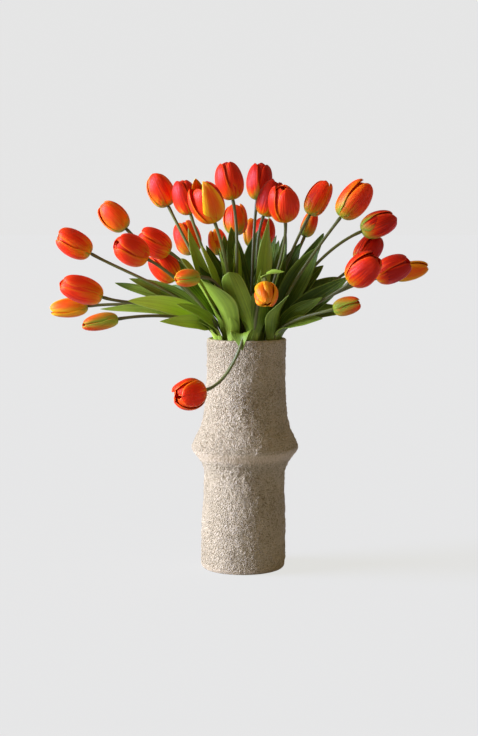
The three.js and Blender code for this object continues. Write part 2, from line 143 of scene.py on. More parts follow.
# Each leaf: the tulip that it grows on, the elbow that it bends towards and its tip (azimuth, beyond
# the rim, above the rim), its width, and how light its green is, partly its own green and partly
# painted light: leaves that the key light falls on, mostly on the left, are given a lighter green.
# Where given, at is the share of its stem where it starts, roll is how far its face is turned, twist
# is how far it turns on by the tip, wave is how wavy its edges are, blunt is how blunt its tip is,
# and spread is how much wider than its width it is.
LEAVES = [
    blade(22, (244, 40, 72), (240, 68, 92), 34, 0.5, blunt=1.0, twist=-20, spread=1.5),
    blade(21, (257, 22, 70), (253, 38, 104), 31, 0.6, blunt=1.0, twist=15),
    blade(6, (195, -4, 95), (196, 10, 143), 28, 1.0, blunt=0.9, roll=-20),
    blade(11, (-51, -12, 110), (-50, -10, 187), 33, 0.75, twist=25, wave=0.06),
    blade(13, (10, 35, 110), (9, 61, 163), 24, 0.05, roll=70),
    blade(14, (8, 20, 96), (6, 52, 140), 34, 0.05, wave=0.06, roll=70),
    blade(18, (-15, 50, 57), (-13, 98, 95), 32, 0.1, roll=75),
    blade(20, (-60, 25, 50), (-61, 64, 70), 36, 0.3, roll=30),
    blade(12, (-62, 10, 50), (-64, 29, 84), 29, 0.2, roll=15),
    blade(1, (178, 56, 72), (178, 121, 92), 24, 0.25, roll=-70),
    blade(2, (166, 109, 70), (166, 153, 83), 18, 0.2, roll=-60),
    blade(24, (198, 67, 58), (194, 125, 60), 26, 1.4, roll=-75),
    blade(25, (178, 103, 45), (177, 167, 44), 16, 0.5, roll=-70),
    blade(26, (222, 43, 28), (212, 93, 30), 21, 1.1, at=0.06, roll=-70),
    blade(4, (212, 34, 95), (211, 54, 124), 30, 0.85, blunt=0.8, roll=-45),
    blade(5, (167, 20, 115), (168, 31, 169), 19, 0.8, roll=-60),
    blade(27, (112, -13, 100), (113, -2, 171), 38, 0.05),
    blade(8, (226, -13, 95), (227, 0, 139), 20, 0.6, roll=-20),
    blade(13, (20, -5, 110), (22, 5, 165), 20, 0.1, at=0.14, roll=40),
    blade(12, (-43, 20, 110), (-47, 21, 155), 18, 0.3, at=0.14, roll=50),
    blade(23, (262, 18, 34), (265, 13, -14), 30, 0.35, twist=25, wave=0.08),
    blade(7, (129, 25, 80), (128, 60, 110), 34, 0.15, roll=-50),
    blade(28, (84, 25, 80), (80, 70, 95), 30, 0.1),
    blade(10, (54, 4, 100), (54, 24, 150), 26, 0.1),
    blade(16, (29, 60, 75), (30, 110, 90), 28, 0.1, roll=50),
    blade(2, (148, 60, 70), (145, 115, 70), 28, 0.15, at=0.14, roll=-50),
    blade(19, (10, 50, 45), (12, 110, 40), 26, 0.2, roll=60),
    blade(20, (-34, 40, 30), (-34, 75, 34), 17, 0.4, at=0.14, roll=60),
    # shorter leaves between the others
    blade(29, (186, 8, 85), (188, 70, 128), 30, 0.15, roll=-70),
    blade(3, (218, 20, 40), (214, 66, 56), 22, 0.6, roll=-60),
    blade(26, (214, 6, 22), (216, 30, 30), 18, 0.7, roll=-50),
    blade(22, (250, 2, 20), (247, 12, 44), 20, 0.5, at=0.05),
    blade(21, (285, 4, 40), (280, 16, 76), 34, 0.2, at=0.05, blunt=0.4),
    blade(9, (120, -30, 100), (118, -26, 150), 22, 0.7, roll=20),
    blade(30, (60, -6, 90), (58, 4, 140), 36, 0.05),
    blade(15, (14, 20, 80), (12, 60, 112), 34, 0.05, roll=60),
    blade(17, (-28, 24, 40), (-22, 62, 66), 26, 0.3, roll=50),
    blade(31, (112, 4, 90), (116, 24, 136), 34, 0.05, roll=-30),
    blade(28, (80, 4, 110), (78, 20, 165), 36, 0.05),
    blade(27, (124, -12, 100), (128, -2, 158), 34, 0.1),
    blade(30, (44, -16, 100), (38, -2, 158), 36, 0.05),
    blade(32, (44, 14, 90), (38, 46, 146), 36, 0.05, roll=30),
    blade(31, (138, -4, 90), (143, 18, 142), 32, 0.1, roll=-30),
    blade(11, (24, -30, 90), (20, -18, 148), 32, 0.05, at=0.1),
    blade(9, (160, -34, 90), (164, -30, 138), 30, 0.1),
    blade(6, (176, -10, 70), (178, 14, 112), 32, 0.05, at=0.08, roll=-40),
    blade(16, (10, 30, 60), (6, 74, 92), 34, 0.0, at=0.1, roll=60),
    blade(21, (-79, 66, 106), (-68, 84, 106), 15, 0.5, at=0.72, roll=40),
    blade(12, (-66, -20, 60), (-62, -14, 108), 15, 0.9, at=0.05),
]


def azimuth_point(azimuth, radius, height):
    turn = math.radians(azimuth)
    return Vector((radius * math.cos(turn), radius * math.sin(turn), height))


def from_rim(place):
    azimuth, beyond, above = place
    return azimuth_point(azimuth, RIM_RADIUS + beyond, above) + MOUTH


def direction(aim):
    azimuth, elevation = aim
    level = math.cos(math.radians(elevation))
    return azimuth_point(azimuth, level, math.sin(math.radians(elevation)))


def level_way(start, end):
    """The level direction from one point to another."""
    return Vector((end.x - start.x, end.y - start.y, 0)).normalized()


def blend(low, high, share):
    return low + (high - low) * share


def smoothstep(low, high, value):
    share = min(max((value - low) / (high - low), 0.0), 1.0)
    return share * share * (3 - 2 * share)


def groove_at(across):
    """Depth of the groove down a leaf or a petal: 1 at its middle, 0 away from it."""
    return math.exp(-((across / GROOVE_WIDTH) ** 2))


def bend(start, leaving, end, arriving, climb=CLIMB, approach=APPROACH):
    """Four handles of a smooth bend that leaves start one way and reaches end another way."""
    span = (end - start).length
    return start, start + leaving * span * climb, end - arriving * span * approach, end


def stem_bends(tulip):
    """The stem's middle line as bezier stretches: inside the vase first, then over to the bloom."""
    azimuth, share = tulip["neck"]
    aim = direction(tulip["aim"])
    neck = MOUTH + azimuth_point(azimuth, share * MOUTH_REACH, -NECK_DROP)
    foot_radius = blend(*FOOT_SPREAD, share) * FLOOR_REACH
    foot = azimuth_point(azimuth, foot_radius, VASE_FLOOR + FOOT_LIFT)
    end = from_rim(tulip["bloom"]) - aim * (tulip["size"][0] / 2 + BLOOM_GAP)
    out = (level_way(neck, end) * OUTWARD_LEAN * share + UP).normalized()
    inside = neck.z - foot.z
    stretches = [(foot, foot + UP * inside * FOOT_PULL, neck - out * inside * NECK_PULL, neck)]
    if "over" in tulip:
        over = from_rim(tulip["over"])
        level = azimuth_point(tulip["over"][0], 1, 0)
        stretches.append(bend(neck, out, over, level))
        stretches.append(bend(over, level, end, aim, approach=tulip["approach"]))
    else:
        stretches.append(bend(neck, out, end, aim, tulip.get("climb", CLIMB)))
    return stretches


def bezier_point(handles, t):
    a, b, c, d = handles
    s = 1 - t
    return a * s**3 + b * 3 * s * s * t + c * 3 * s * t * t + d * t**3


def bezier_direction(handles, t):
    a, b, c, d = handles
    s = 1 - t
    return ((b - a) * s * s + (c - b) * 2 * s * t + (d - c) * t * t).normalized()


# ---- Meshes ----


MERGE_DISTANCE = 0.01


def solids(number, part):
    """The frame's solid for this part of a tulip, in a list, or an empty list if it has none."""
    name = f"tulip_{number:02d}_{part}"
    return [name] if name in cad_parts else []


def new_object(name, data):
    thing = bpy.data.objects.new(name, data)
    bpy.context.scene.collection.objects.link(thing)
    return thing


def new_mesh_data(bm, name, material):
    """Turns a bmesh into a mesh with one material."""
    mesh = bpy.data.meshes.new(name)
    bm.to_mesh(mesh)
    bm.free()
    mesh.materials.append(material)
    return mesh


def new_mesh():
    """An empty bmesh whose vertices can hold a grain and a colouring."""
    bm = bmesh.new()
    bm.verts.layers.float_vector.new("grain")
    bm.verts.layers.float_vector.new("colouring")
    return bm


def close_up(bm):
    """Joins a shape's seams and poles, and turns its faces outwards."""
    bmesh.ops.remove_doubles(bm, verts=bm.verts, dist=MERGE_DISTANCE)
    bmesh.ops.recalc_face_normals(bm, faces=bm.faces)


def finish_piece(bm, name, material, stands_for=(), thickness=0.0, rounds=1):
    """Turns a bmesh in millimetres into a piece in metres that rides on the root body."""
    close_up(bm)
    bmesh.ops.scale(bm, vec=(MM, MM, MM), verts=bm.verts)
    mesh = new_mesh_data(bm, name, material)
    mesh.shade_smooth()
    piece = new_object(name, mesh)
    if thickness:
        shell = piece.modifiers.new("Thickness", "SOLIDIFY")
        shell.thickness = thickness * MM
        shell.offset = 0
    if rounds:
        rounding = piece.modifiers.new("Rounding", "SUBSURF")
        rounding.levels = rounding.render_levels = rounds
    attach(piece, "root")
    for node in stands_for:
        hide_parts(node)


def sheet(bm, across, along, place, colouring, key):
    """A grid of vertices, each where place(u, v) says: u from -1 to 1 across, v from 0 to 1 along."""
    grain = bm.verts.layers.float_vector["grain"]
    tone = bm.verts.layers.float_vector["colouring"]
    made = bmesh.ops.create_grid(bm, x_segments=across, y_segments=along, size=1)["verts"]
    for vert in made:
        u, v = vert.co.x, (vert.co.y + 1) / 2
        vert.co = place(u, v)
        vert[grain] = (u, v, key)
        vert[tone] = colouring


def tube(bm, points, radius_at, sides, colouring=(0, 0, 0), key=0.0):
    """A round rod: one face drawn out along the points, its radius set by the share of the way."""
    grain = bm.verts.layers.float_vector["grain"]
    tone = bm.verts.layers.float_vector["colouring"]
    made = bmesh.ops.create_circle(bm, cap_ends=True, radius=1, segments=sides)["verts"]
    for vert in made:
        vert[grain] = vert.co
        vert[tone] = colouring
    face = made[0].link_faces[0]
    side = (points[1] - points[0]).orthogonal().normalized()
    last = len(points) - 1
    travelled = 0.0
    for k, point in enumerate(points):
        ahead = (points[min(k + 1, last)] - points[max(k - 1, 0)]).normalized()
        side = (side - ahead * side.dot(ahead)).normalized()
        other = ahead.cross(side)
        if k:
            drawn = bmesh.ops.extrude_face_region(bm, geom=[face])["geom"]
            if k > 1:  # the first face stays as the rod's end
                bmesh.ops.delete(bm, geom=[face], context="FACES_ONLY")
            face = next(g for g in drawn if isinstance(g, bmesh.types.BMFace))
            travelled += (point - points[k - 1]).length
        radius = radius_at(k / last)
        for vert in face.verts:
            x, y = vert[grain].x, vert[grain].y
            vert.co = point + (side * x + other * y) * radius
            vert[grain] = (x, y, travelled + key)


# ---- Materials ----


def node(tree, kind, inputs=None, **settings):
    """Adds one shader node; inputs maps sockets to values or to the sockets that feed them."""
    made = tree.nodes.new("ShaderNode" + kind)
    for key, value in settings.items():
        setattr(made, key, value)
    for key, value in (inputs or {}).items():
        if isinstance(value, bpy.types.NodeSocket):
            tree.links.new(value, made.inputs[key])
        else:
            made.inputs[key].default_value = value
    return made


def maths(tree, operation, *values, clamp=False):
    made = node(tree, "Math", dict(enumerate(values)), operation=operation, use_clamp=clamp)
    return made.outputs[0]


def product(tree, first, *others):
    """All the values multiplied together."""
    for other in others:
        first = maths(tree, "MULTIPLY", first, other)
    return first


def left_of_one(tree, value):
    """What is left when a value is taken away from 1."""
    return maths(tree, "SUBTRACT", 1.0, value)


def swing(tree, value, amount):
    """A noise that swings about zero, by up to half the amount each way."""
    return product(tree, maths(tree, "SUBTRACT", value, 0.5), amount)


def mixed(tree, share, first, second):
    """The first colour, turned into the second where the share is 1."""
    first, second = (c if isinstance(c, bpy.types.NodeSocket) else rgb(c) for c in (first, second))
    inputs = {0: share, 6: first, 7: second}  # 6 and 7, and 2 below, are a Mix node's colours
    return node(tree, "Mix", inputs, data_type="RGBA").outputs[2]


def ramp(tree, value, low, high, to_low=0.0, to_high=1.0):
    """A smooth step of a value from one range to another."""
    inputs = {"Value": value, "From Min": low, "From Max": high, "To Min": to_low, "To Max": to_high}
    return node(tree, "MapRange", inputs, interpolation_type="SMOOTHSTEP").outputs[0]


def noise_of(tree, place, scale, **more):
    return node(tree, "TexNoise", dict(more, Vector=place, Scale=scale)).outputs["Fac"]


def object_place(tree):
    return node(tree, "TexCoord").outputs["Object"]


def attribute(tree, name):
    """A vector attribute, and its x, y and z on their own."""
    vector = node(tree, "Attribute", attribute_name=name).outputs["Vector"]
    return vector, node(tree, "SeparateXYZ", {0: vector}).outputs


def new_group(name, inputs, outputs):
    """An empty node group with the named float and vector sockets."""
    group = bpy.data.node_groups.new(name, "ShaderNodeTree")
    for way, sockets in (("INPUT", inputs), ("OUTPUT", outputs)):
        for label, kind in sockets.items():
            group.interface.new_socket(label, in_out=way, socket_type="NodeSocket" + kind)
    return group, group.nodes.new("NodeGroupInput").outputs, group.nodes.new("NodeGroupOutput").inputs


def streaks_group():
    """Fine lines that run along a petal, a leaf or a stem."""
    tree, given, gives = new_group(
        "Lengthwise lines",
        {"Grain": "Vector", "Across": "Float", "Along": "Float", "Detail": "Float"},
        {"Lines": "Float"},
    )
    stretch = node(tree, "CombineXYZ", {0: given["Across"], 1: given["Along"], 2: 1.0})
    scaled = node(tree, "VectorMath", {0: given["Grain"], 1: stretch.outputs[0]}, operation="MULTIPLY")
    lines = noise_of(tree, scaled.outputs[0], 1.0, Detail=given["Detail"], Roughness=0.6)
    tree.links.new(lines, gives["Lines"])


def mottle_group():
    """Slow changes of tone over a whole surface."""
    tree, given, gives = new_group(
        "Uneven tone", {"Scale": "Float", "Amount": "Float"}, {"Tone": "Float"},
    )
    cloud = noise_of(tree, object_place(tree), given["Scale"], Detail=3.0)
    tree.links.new(swing(tree, cloud, given["Amount"]), gives["Tone"])


def use_group(tree, name, **inputs):
    return node(tree, "Group", inputs, node_tree=bpy.data.node_groups[name]).outputs[0]


def new_material(name, **sockets):
    """A material with a Principled shader whose constant values are set on its own sockets."""
    material = bpy.data.materials.new(name)
    material.use_nodes = True
    tree = material.node_tree
    shader = tree.nodes["Principled BSDF"]
    for key, value in sockets.items():
        shader.inputs[key.replace("_", " ")].default_value = value
    return material, tree, shader


def bump(tree, shader, height, distance, strength=1.0):
    made = node(tree, "Bump", {"Height": height, "Distance": distance, "Strength": strength})
    tree.links.new(made.outputs[0], shader.inputs["Normal"])


def rgb(value):
    return (*value, 1.0)


def finish_plant(tree, shader, colour, lines, gloss, relief):
    """Wires a plant's colour; its lines set its roughness, between two values, and its bump."""
    tree.links.new(colour, shader.inputs["Base Color"])
    tree.links.new(ramp(tree, lines, 0.3, 0.7, *gloss), shader.inputs["Roughness"])
    bump(tree, shader, lines, *relief)


def petal_material(name, looks):
    """Waxy petals: green at the stem, then yellow, then a flame of red that runs up the middle and
    darkens to crimson (partly painted shade), with a painted pink sheen down each petal's middle.
    """
    material, tree, shader = new_material(
        name, Specular_IOR_Level=0.14, Sheen_Weight=0.02, Sheen_Roughness=0.35,
        Sheen_Tint=(1.0, 0.6, 0.45, 1.0), Subsurface_Weight=0.3, Subsurface_Scale=0.003,
        Subsurface_Radius=(1.0, 0.25, 0.06),
    )
    grain, (across, along, _) = attribute(tree, "grain")
    _, (redness_and_shade, yellow_edge, green) = attribute(tree, "colouring")
    lines = use_group(tree, "Lengthwise lines", Grain=grain, Across=9.0, Along=1.4, Detail=4.0)
    tone = use_group(tree, "Uneven tone", Scale=45.0, Amount=0.25)
    side = maths(tree, "ABSOLUTE", across)
    wander = swing(tree, lines, 0.95)
    height = maths(tree, "ADD", along, wander)
    edge = maths(tree, "ADD", side, wander)

    # how red: none at the stem, full above, held back from the edges where yellow runs in
    rise = product(tree, ramp(tree, height, -0.1, 0.68), redness_and_shade)
    beside = left_of_one(tree, ramp(tree, edge, 0.25, 0.8, 1.0, 0.0))
    held = left_of_one(tree, product(tree, yellow_edge, beside))
    top = product(tree, yellow_edge, ramp(tree, height, 0.62, 1.0, 0.0, 0.9))
    rim = ramp(tree, side, 0.72, 1.0, 0.0, 0.35)
    red_share = product(tree, rise, held, left_of_one(tree, top), left_of_one(tree, rim))
    red_share = maths(tree, "ADD", red_share, tone, clamp=True)
    # partly painted shade: the crimson end of this ramp is dark, so the reddest blooms, which lie in
    # shade, come out darker
    colours = node(tree, "ValToRGB", {"Fac": red_share})
    stops = colours.color_ramp.elements
    stops[0].color = rgb(looks.yellow)
    stops[1].color = rgb(looks.crimson_and_shade)
    for position, colour in ((0.34, looks.orange), (0.66, looks.scarlet)):
        stops.new(position).color = rgb(colour)

    # how green: full at the stem, and further up the middle than at the edges
    green_top = maths(tree, "MULTIPLY_ADD", green, 0.36, 0.07)
    edge_drop = product(tree, edge, edge, maths(tree, "MULTIPLY_ADD", green, 0.35, 0.1))
    past_green = maths(tree, "SUBTRACT", maths(tree, "MULTIPLY_ADD", wander, 0.4, along), edge_drop)
    fade = maths(tree, "DIVIDE", past_green, green_top)
    greenness = maths(tree, "SUBTRACT", 1.0, fade, clamp=True)
    colour = mixed(tree, greenness, colours.outputs["Color"], looks.petal_green)
    # painted highlight: a faint pink sheen is painted down the middle of each petal
    colour = mixed(tree, ramp(tree, side, 0.0, 0.12, 0.12, 0.0), colour, looks.petal_sheen_pink)
    finish_plant(tree, shader, colour, lines, gloss=(0.34, 0.5), relief=(0.0014, 0.8))
    return material


def leaf_material(looks):
    """Smooth leaves with parallel veins, a paler edge (partly a painted highlight) and a pale root; lit
    leaves are painted a lighter green.
    """
    material, tree, shader = new_material("leaf", Specular_IOR_Level=0.14)
    grain, (across, along, _) = attribute(tree, "grain")
    _, (light, _, _) = attribute(tree, "colouring")
    veins = use_group(tree, "Lengthwise lines", Grain=grain, Across=14.0, Along=0.8, Detail=3.0)
    tone = use_group(tree, "Uneven tone", Scale=18.0, Amount=0.7)
    # partly painted light: a leaf's light value makes it lighter green where the key light falls on it
    share = maths(tree, "MULTIPLY_ADD", light, 0.72, tone)
    share = maths(tree, "ADD", share, swing(tree, veins, 0.9), clamp=True)
    colour = mixed(tree, share, looks.leaf_old_and_shaded, looks.leaf_young_and_lit)
    side = maths(tree, "ABSOLUTE", across)
    # partly painted highlight: the pale edge is stronger on the lighter, lit leaves
    pale_edge_and_highlight = maths(tree, "MULTIPLY_ADD", light, 0.6, 0.15)
    rim = product(tree, ramp(tree, side, 0.86, 1.0), pale_edge_and_highlight)
    midrib = ramp(tree, side, 0.0, 0.07, 0.2, 0.0)
    root = ramp(tree, along, 0.0, 0.25, 0.5, 0.0)
    for pale in (rim, midrib, root):
        colour = mixed(tree, pale, colour, looks.leaf_pale)
    finish_plant(tree, shader, colour, veins, gloss=(0.38, 0.52), relief=(0.0006, 0.6))
    return material


def stem_material(looks):
    """Stems streaked with olive and brown."""
    material, tree, shader = new_material("stem", Specular_IOR_Level=0.35)
    grain, _ = attribute(tree, "grain")
    _, (brownness, _, _) = attribute(tree, "colouring")
    lines = use_group(tree, "Lengthwise lines", Grain=grain, Across=2.2, Along=0.04, Detail=3.0)
    tone = use_group(tree, "Uneven tone", Scale=25.0, Amount=0.8)
    share = maths(tree, "ADD", brownness, tone)
    share = maths(tree, "ADD", share, swing(tree, lines, 1.0), clamp=True)
    colour = mixed(tree, share, looks.stem_green, looks.stem_brown)
    finish_plant(tree, shader, colour, lines, gloss=(0.36, 0.5), relief=(0.0004, 0.4))
    return material


def clay_material(looks):
    """Rough stoneware: pale on its wrinkles, brown in its pits (partly painted shade), smoother and
    paler under the ring.
    """
    material, tree, shader = new_material("clay", Specular_IOR_Level=0.6)
    place = object_place(tree)
    height = node(tree, "SeparateXYZ", {0: place}).outputs[2]
    wrinkles = noise_of(tree, place, 150.0, Detail=4.0, Roughness=0.58, Distortion=2.2)
    pits = node(tree, "TexVoronoi", {"Vector": place, "Scale": 420.0}).outputs["Distance"]
    grit = noise_of(tree, place, 900.0, Detail=2.0)
    tone = use_group(tree, "Uneven tone", Scale=16.0, Amount=1.3)
    _, (smooth, _, _) = attribute(tree, "colouring")
    rough = left_of_one(tree, smooth)
    # partly painted shade: the clay is painted browner in its pits, where shade falls
    relief = maths(tree, "ADD", wrinkles, product(tree, pits, 0.35))
    share = maths(tree, "ADD", ramp(tree, relief, 0.42, 0.78), tone)
    share = maths(tree, "ADD", share, swing(tree, grit, 0.3), clamp=True)
    colour = mixed(tree, share, looks.clay_dark_and_pit_shade, looks.clay_light)
    colour = mixed(tree, product(tree, smooth, 0.7), colour, looks.clay_band)
    worn_foot = ramp(tree, height, 0.0, 0.012, 0.6, 0.0)
    colour = mixed(tree, worn_foot, colour, looks.clay_band)
    tree.links.new(colour, shader.inputs["Base Color"])
    tree.links.new(ramp(tree, relief, 0.4, 0.8, 0.8, 0.48), shader.inputs["Roughness"])
    fine_relief = maths(tree, "ADD", relief, product(tree, grit, 0.25))
    depth = product(tree, fine_relief, maths(tree, "MULTIPLY_ADD", rough, 0.8, 0.2))
    bump(tree, shader, depth, 0.006)
    return material


def plain_material(name, colour, speckle, roughness):
    """A lightly speckled finish for the small pieces inside a bloom."""
    material, tree, shader = new_material(name, Roughness=roughness)
    dust = noise_of(tree, object_place(tree), 1500.0, Detail=2.0)
    tone = mixed(tree, ramp(tree, dust, 0.4, 0.65), colour, speckle)
    tree.links.new(tone, shader.inputs["Base Color"])
    bump(tree, shader, dust, 0.0003, 0.6)
    return material


# ---- Settings ----


def length(name, description, default):
    return FloatProperty(name=name, description=description, default=default * MM, unit="LENGTH",
                         subtype="DISTANCE", precision=4)


def colour(name, description, default):
    return FloatVectorProperty(name=name, description=description, default=default, size=3,
                               min=0.0, max=1.0, subtype="COLOR")


class VaseSettings(bpy.types.PropertyGroup):
    """Sizes of the vase that the frame doesn't fix."""

    ring_radius: length("Ring radius", "Radius of the ring's nose", 82.8)
    ring_height: length("Ring height", "Height of the ring's nose above the table", 190.5)
    waist_radius: length("Waist radius", "Radius of the slimmest place under the ring", 62.4)
    wrinkle: length("Wrinkle depth", "How far the clay's wrinkles stand out", 1.7)
    unevenness: length("Unevenness", "How far the hand-thrown wall wanders", 0.55)
    segments: IntProperty(name="Segments", description="Faces round the wall", default=256, min=32)


class FlowerSettings(bpy.types.PropertyGroup):
    """Thicknesses and fineness of the tulips."""

    petal_thickness: length("Petal thickness", "Thickness of a petal", 0.8)
    leaf_thickness: length("Leaf thickness", "Thickness of a leaf", 1.0)
    stem_sides: IntProperty(name="Stem sides", description="Sides of a stem", default=10, min=6)
    seed: IntProperty(name="Seed", description="Sets the small differences between petals", default=7)


class ColourSettings(bpy.types.PropertyGroup):
    """Colours of the clay and the plants."""

    clay_light: colour("Clay, high", "Wrinkles of the clay", (0.62, 0.485, 0.25))
    # partly painted shade in the clay's pits
    clay_dark_and_pit_shade: colour("Clay, low", "Pits of the clay", (0.31, 0.222, 0.088))
    clay_band: colour("Clay, band", "Smooth clay under the ring", (0.76, 0.57, 0.30))
    yellow: colour("Yellow", "Petals near the stem and along young edges", (1.0, 0.47, 0.010))
    orange: colour("Orange", "Petals between yellow and red", (1.0, 0.175, 0.003))
    scarlet: colour("Scarlet", "The body of a red petal", (1.0, 0.040, 0.003))
    # partly painted shade: darker than a petal's own deep red, and it darkens the shaded blooms
    crimson_and_shade: colour("Crimson", "The top of a red petal", (0.52, 0.012, 0.002))
    petal_green: colour("Petal green", "Petals where they meet the stem", (0.36, 0.42, 0.03))
    # painted highlight: the pink sheen painted down the middle of each petal
    petal_sheen_pink: colour("Petal pink", "The bloom along a petal's middle", (0.90, 0.10, 0.04))
    # the light and dark leaf greens are partly the leaves' own greens and partly painted light and
    # shade
    leaf_young_and_lit: colour("Leaf, light", "Young leaves", (0.54, 0.74, 0.065))
    leaf_old_and_shaded: colour("Leaf, dark", "Older leaves", (0.048, 0.088, 0.007))
    # also paints the highlight along the edges of lit leaves
    leaf_pale: colour("Leaf, pale", "Edges, midribs and roots of leaves", (0.45, 0.57, 0.10))
    stem_green: colour("Stem, green", "The greener streaks of stems", (0.17, 0.20, 0.035))
    stem_brown: colour("Stem, brown", "The browner streaks of stems", (0.075, 0.050, 0.020))
    anther_dark: colour("Anther", "The tips of stamens", (0.03, 0.012, 0.02))
    anther_dust: colour("Pollen", "Specks on the tips of stamens", (0.12, 0.05, 0.02))


class StageSettings(bpy.types.PropertyGroup):
    """The floor, the lights and the camera."""

    floor: colour("Floor", "The floor's colour", (0.6, 0.6, 0.6))
    key: FloatProperty(name="Key light", description="Strength of the light from the left", default=9.4)
    fill: FloatProperty(name="Fill light", description="Strength of the light all round", default=0.30)
    lens: FloatProperty(name="Lens", description="The camera's focal length", default=75.7,
                        unit="CAMERA")
    distance: length("Distance", "From the camera to the middle of the bunch", 2400)
    elevation: FloatProperty(name="Elevation", description="How far the camera looks down",
                             default=math.radians(5.4), subtype="ANGLE")


# ---- Vase ----


RING_BAND = (168, 178, 184, 193)  # heights where the smooth band under the ring begins and ends
LIP_BAND = (6, 1)  # the lip is smoothed between these depths under the rim
BAND_SMOOTHNESS = 0.6
LIP_SMOOTHNESS = 0.5


def flat_points(radii, height):
    return [Vector((r, 0, height)) for r in radii]


def through(points, steps):
    """A smooth line through all the points."""
    line = []
    ends = [points[0], *points, points[-1]]
    for k in range(len(points) - 1):
        before, start, end, after = ends[k : k + 4]
        handles = start + (end - before) / 6, end - (after - start) / 6
        line += interpolate_bezier(start, *handles, end, steps)[:-1]
    return [*line, points[-1]]


def vase_outline(sizes):
    """The outer wall from the foot up, then over the lip, down the inner wall and along the floor."""
    ring, ring_z, waist = (x / MM for x in (sizes.ring_radius, sizes.ring_height, sizes.waist_radius))
    foot = FOOT_RADIUS
    wall = [(foot - 0.5, 9), (foot, 35), (65.3, 78), (63.3, 112), (waist, 138), (waist + 0.8, 153),
            (67, 165), (75.2, 177), (ring - 1.4, ring_z - 5.5), (ring, ring_z + 1),
            (ring - 2.2, ring_z + 8), (76.3, 208), (70.8, 219), (67, 232), (64.4, 248), (62.4, 270),
            (61.2, 300), (61, 332), (RIM_RADIUS, RIM_HEIGHT - WALL / 2)]
    wall_steps, round_steps, corner, flat = 14, 8, 10, (0, 20, 40)
    outer = through([Vector((r, 0, z)) for r, z in wall], wall_steps)
    inner = [p - Vector((WALL, 0, 0)) for p in reversed(outer[::3]) if p.z > VASE_FLOOR + corner]
    low = inner[-1]
    foot_round = interpolate_bezier(
        *flat_points((foot - 8, foot - 3), 0), Vector((foot, 0, 4)), outer[0], round_steps)
    lip_rise = Vector((0, 0, WALL * 0.6))
    lip = interpolate_bezier(
        outer[-1], outer[-1] + lip_rise, inner[0] + lip_rise, inner[0], round_steps + 1)
    bowl = interpolate_bezier(
        low, Vector((low.x, 0, VASE_FLOOR + 3)),
        *flat_points((low.x - 3, low.x - corner), VASE_FLOOR), round_steps)
    base, floor = flat_points(flat, 0), flat_points(reversed(flat), VASE_FLOOR)
    return [*base, *foot_round[:-1], *outer, *lip[1:-1], *inner, *bowl[1:], *floor]


def clay_smoothness(z):
    """How far the clay was smoothed by hand, under the ring and at the lip; 0 where it is rough."""
    under = smoothstep(*RING_BAND[:2], z) * (1 - smoothstep(*RING_BAND[2:], z))
    lip = smoothstep(*(RIM_HEIGHT - depth for depth in LIP_BAND), z)
    return max(BAND_SMOOTHNESS * under, LIP_SMOOTHNESS * lip)


def clay_relief(p, wrinkle):
    """How far the clay stands out at a point: sharp creases over broader lumps."""
    crease_width, lump_width, octaves, average = 6, 13, 3, 0.55
    crease = noise.turbulence(Vector((p.x, p.y, p.z * 1.2)) / crease_width, octaves, True)
    lumps = noise.noise(p / lump_width + Vector((0, 0, 40)))
    return (crease - average) * wrinkle + lumps * wrinkle * 0.45


def wall_wander(p):
    """The slow in and out of a wall thrown by hand."""
    return noise.noise(p / 55 + Vector((3, 7, 1))) + 0.5 * noise.noise(p / 24)


def make_vase(sizes, looks):
    bm = new_mesh()
    tone = bm.verts.layers.float_vector["colouring"]
    verts = [bm.verts.new(p) for p in vase_outline(sizes)]
    edges = [bm.edges.new(pair) for pair in zip(verts, verts[1:])]
    bmesh.ops.spin(bm, geom=verts + edges, cent=(0, 0, 0), axis=(0, 0, 1), angle=2 * math.pi,
                   steps=sizes.segments, use_merge=True)
    close_up(bm)
    bm.normal_update()
    flat_foot, inside_relief = (1, 10), 0.4
    for vert in bm.verts:
        p = vert.co
        smooth = clay_smoothness(p.z)
        grip = smoothstep(*flat_foot, p.z)
        radial = Vector((p.x, p.y, 0)).normalized()
        rough = (1 - smooth) * (1.0 if vert.normal.dot(radial) > 0 else inside_relief)
        wander = radial * wall_wander(p) * sizes.unevenness / MM
        relief = vert.normal * clay_relief(p, sizes.wrinkle / MM) * rough
        vert[tone] = (smooth, 0, 0)
        vert.co = p + (wander + relief) * grip
        vert.co.x += LEAN * vert.co.z / RIM_HEIGHT
    finish_piece(bm, "vase_wall", clay_material(looks), ["vase"], rounds=0)


# ---- Stems ----


INSIDE_STEPS = 10  # points along a stem inside the vase
OUTSIDE_STEPS = 26  # points along each bend above it
INTO_BLOOM = 1.5  # how far a stem runs into its bloom
THINNER = (0.95, 0.12)  # a stem's radius at its foot, and what it loses by its top, as shares
SWELL = 0.9  # how far a stem swells where the petals sit on it


def stem_points(tulip):
    points = []
    for k, stretch in enumerate(stem_bends(tulip)):
        points += interpolate_bezier(*stretch, OUTSIDE_STEPS if k else INSIDE_STEPS)[:-1]
    short = tulip["size"][0] / 2 - INTO_BLOOM
    return [*points, from_rim(tulip["bloom"]) - direction(tulip["aim"]) * short]


def stem_radius_at(share):
    at_foot, lost = THINNER
    return STEM_RADIUS * (at_foot - lost * share) + SWELL * smoothstep(0.95, 1.0, share)


def make_stems(settings, looks):
    material = stem_material(looks)
    chance = random.Random(settings.seed)
    for number, tulip in enumerate(TULIPS, 1):
        bm = new_mesh()
        brownness = chance.uniform(0.25, 0.65)
        tube(bm, stem_points(tulip), stem_radius_at, settings.stem_sides, (brownness, 0, 0),
             chance.uniform(0, 900))
        finish_piece(bm, f"stem_{number:02d}", material, solids(number, "stem"))


# ---- Leaves ----


